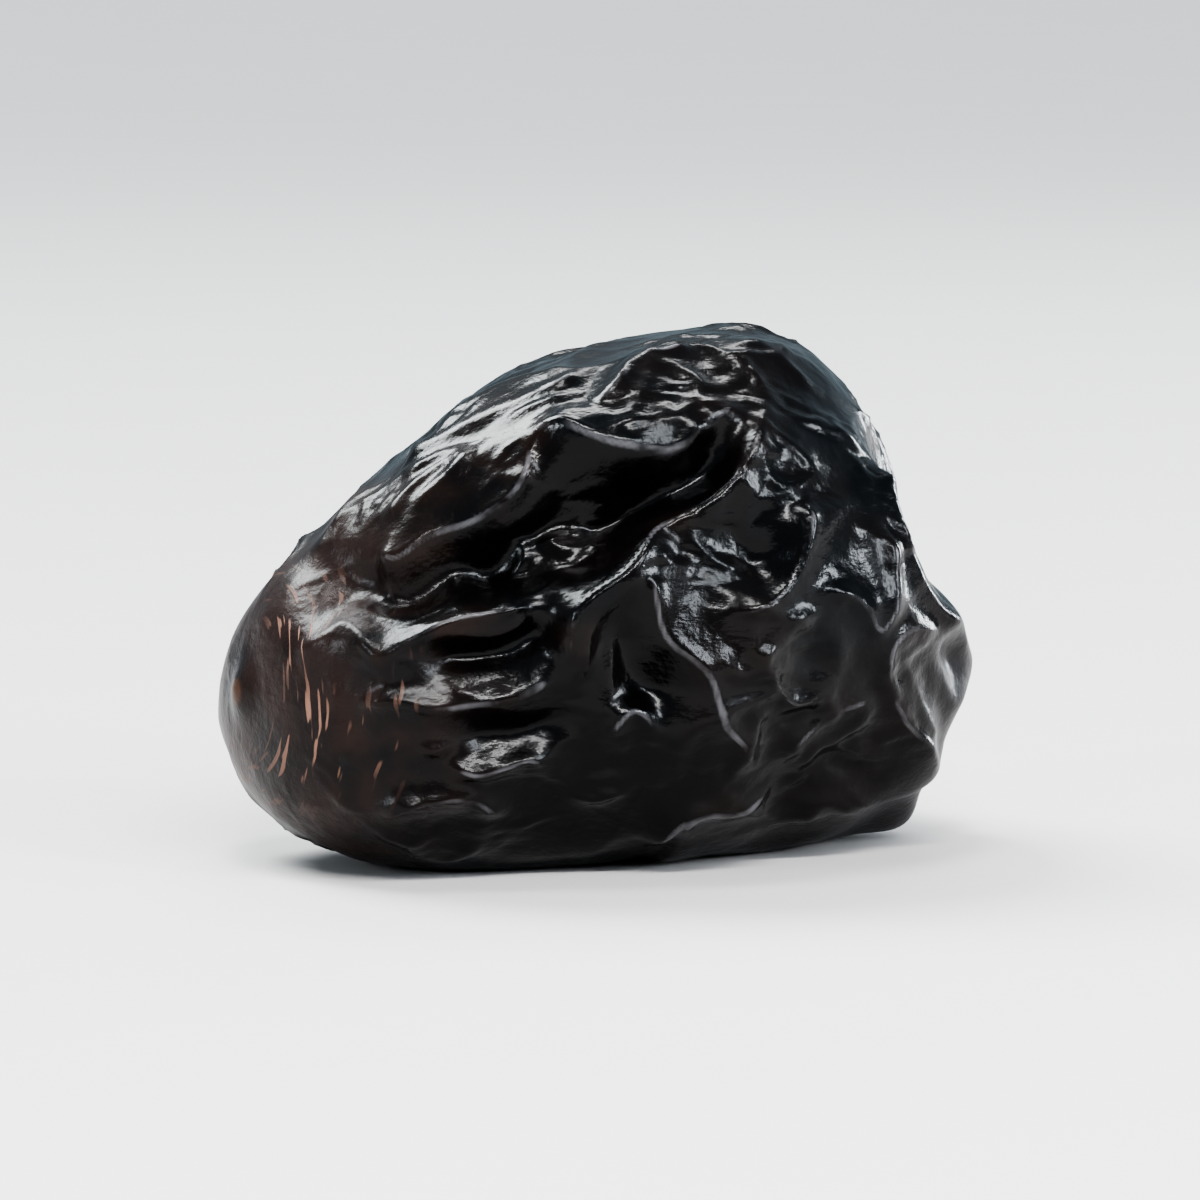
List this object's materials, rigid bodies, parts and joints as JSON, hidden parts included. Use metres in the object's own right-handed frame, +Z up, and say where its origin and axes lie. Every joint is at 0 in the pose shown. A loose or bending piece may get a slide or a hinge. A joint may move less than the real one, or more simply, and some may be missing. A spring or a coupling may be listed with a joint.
{
  "type": "ajwa date",
  "caption": "Dried dark glossy date, a blunt wrinkled oval with deep folds and a stem scar at one end, lying on a small flat spot; a whole fruit to eat, fill a bowl or garnish.",
  "frame": {"origin": "bottom centre of the fruit's box, on the surface that it lies on", "axes": "+X towards the stem scar, -X towards the tip, +Z up"},
  "size_m": [0.0302, 0.022, 0.0208],
  "materials": {
    "date_skin": "glossy, wrinkled, near-black brown skin"
  },
  "bodies": {
    "root": {"date_fruit": "date_skin"}
  },
  "joints": []
}
